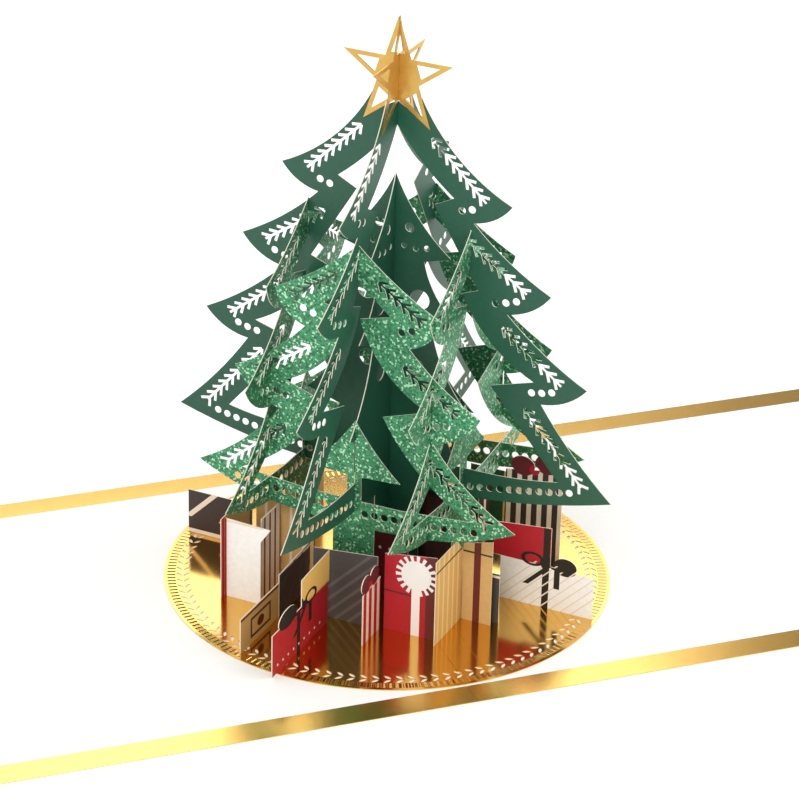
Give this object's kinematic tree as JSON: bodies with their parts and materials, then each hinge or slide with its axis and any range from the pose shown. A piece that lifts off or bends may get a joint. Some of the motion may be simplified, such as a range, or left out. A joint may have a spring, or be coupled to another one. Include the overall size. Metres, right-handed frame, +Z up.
{
  "type": "pop up card",
  "caption": "Open pop-up Christmas card: a tree of slotted green paper sheets with a gold star, on a gold foil disc ringed with small paper gifts",
  "frame": {"origin": "on the table under the middle of the open card", "axes": "+X along the open card's length, to the right; +Y across its panels, away from the front edge; +Z up"},
  "size_m": [0.508, 0.184, 0.2148],
  "materials": {
    "white_card": "smooth white card, gold printed borders",
    "gold_foil": "mirror gold foil on card",
    "dark_green_card": "smooth matte card, pale cut edges",
    "green_glitter_card": "glitter-coated card",
    "star_gold": "brushed gold foil card",
    "brown_print": "matte printed card",
    "cream_print": "matte printed card",
    "kraft_print": "kraft-coloured card",
    "grey_print": "matte printed card",
    "red_print": "satin printed card",
    "green_print": "matte printed card"
  },
  "bodies": {
    "root": {"card": "white_card", "gold_disc": "gold_foil", "dark_sheet_v": "dark_green_card", "dark_sheet_u": "dark_green_card", "star_v": "star_gold", "star_u": "star_gold", "glitter_sheet_front_left": "green_glitter_card", "glitter_sheet_back_right": "green_glitter_card", "glitter_sheet_front_right": "green_glitter_card", "glitter_sheet_back_left": "green_glitter_card", "brown_gift_front": "brown_print", "cream_gift_front": "cream_print", "cream_gift_side": "kraft_print", "kraft_gift_back": "kraft_print", "pale_gift_side": "cream_print", "tag_gift_side": "brown_print", "grey_gift_side": "grey_print", "red_gift_side": "red_print", "grey_gift_front": "grey_print", "brown_gift_middle": "brown_print", "brown_gift_inner": "brown_print", "striped_gift_side": "red_print", "starburst_gift_front": "red_print", "gold_gift_side": "kraft_print", "gold_gift_front": "kraft_print", "small_grey_gift_front": "grey_print", "white_gift_front": "cream_print", "tall_striped_gift_front": "brown_print", "red_gift_back": "red_print", "kraft_gift_left": "kraft_print", "green_gift_back": "green_print", "brown_gift_right": "brown_print"}
  },
  "joints": []
}
